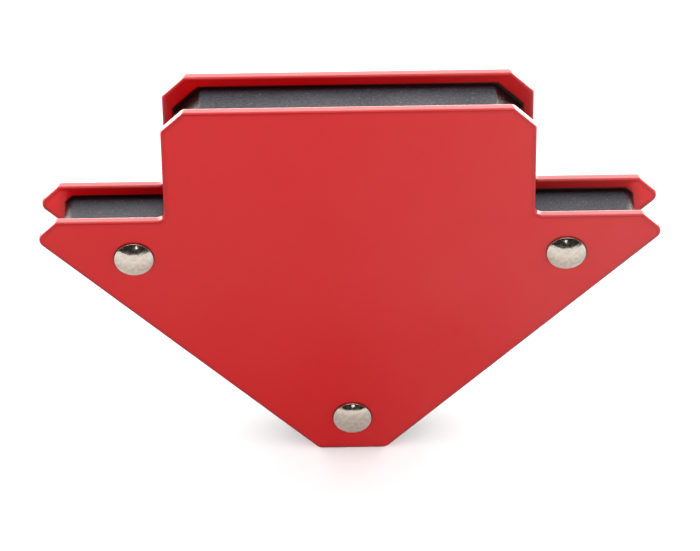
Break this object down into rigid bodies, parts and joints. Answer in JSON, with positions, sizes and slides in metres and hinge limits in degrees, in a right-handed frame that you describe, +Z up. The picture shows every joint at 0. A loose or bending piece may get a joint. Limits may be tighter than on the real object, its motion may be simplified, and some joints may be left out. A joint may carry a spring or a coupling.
{
  "type": "welding magnet holder",
  "caption": "Arrow-shaped magnetic holder for welding: coated steel side plates riveted over a magnet core, with edges that hold work square or at a slant.",
  "frame": {"origin": "centre of the short flat at the point of the arrow, on which the holder stands, midway between the two plates", "axes": "+X along the width towards the right tip as seen from the front, +Y from the front plate with the domed rivet heads to the rear plate, +Z up towards the head of the arrow's block"},
  "size_m": [0.12, 0.0162, 0.0838],
  "materials": {
    "plate": "satin",
    "core": "satin",
    "magnet": "matte",
    "sleeve": "satin",
    "rivet": "gloss"
  },
  "bodies": {
    "root": {"front_side_plate": "plate", "rear_side_plate": "plate", "core_frame": "core", "magnet_top_left": "magnet", "magnet_top_right": "magnet", "magnet_middle_left": "magnet", "magnet_middle_right": "magnet", "magnet_bottom": "magnet", "spacer_sleeve_left": "sleeve", "spacer_sleeve_right": "sleeve", "spacer_sleeve_bottom": "sleeve", "rivet_left": "rivet", "rivet_right": "rivet", "rivet_bottom": "rivet"}
  },
  "joints": []
}
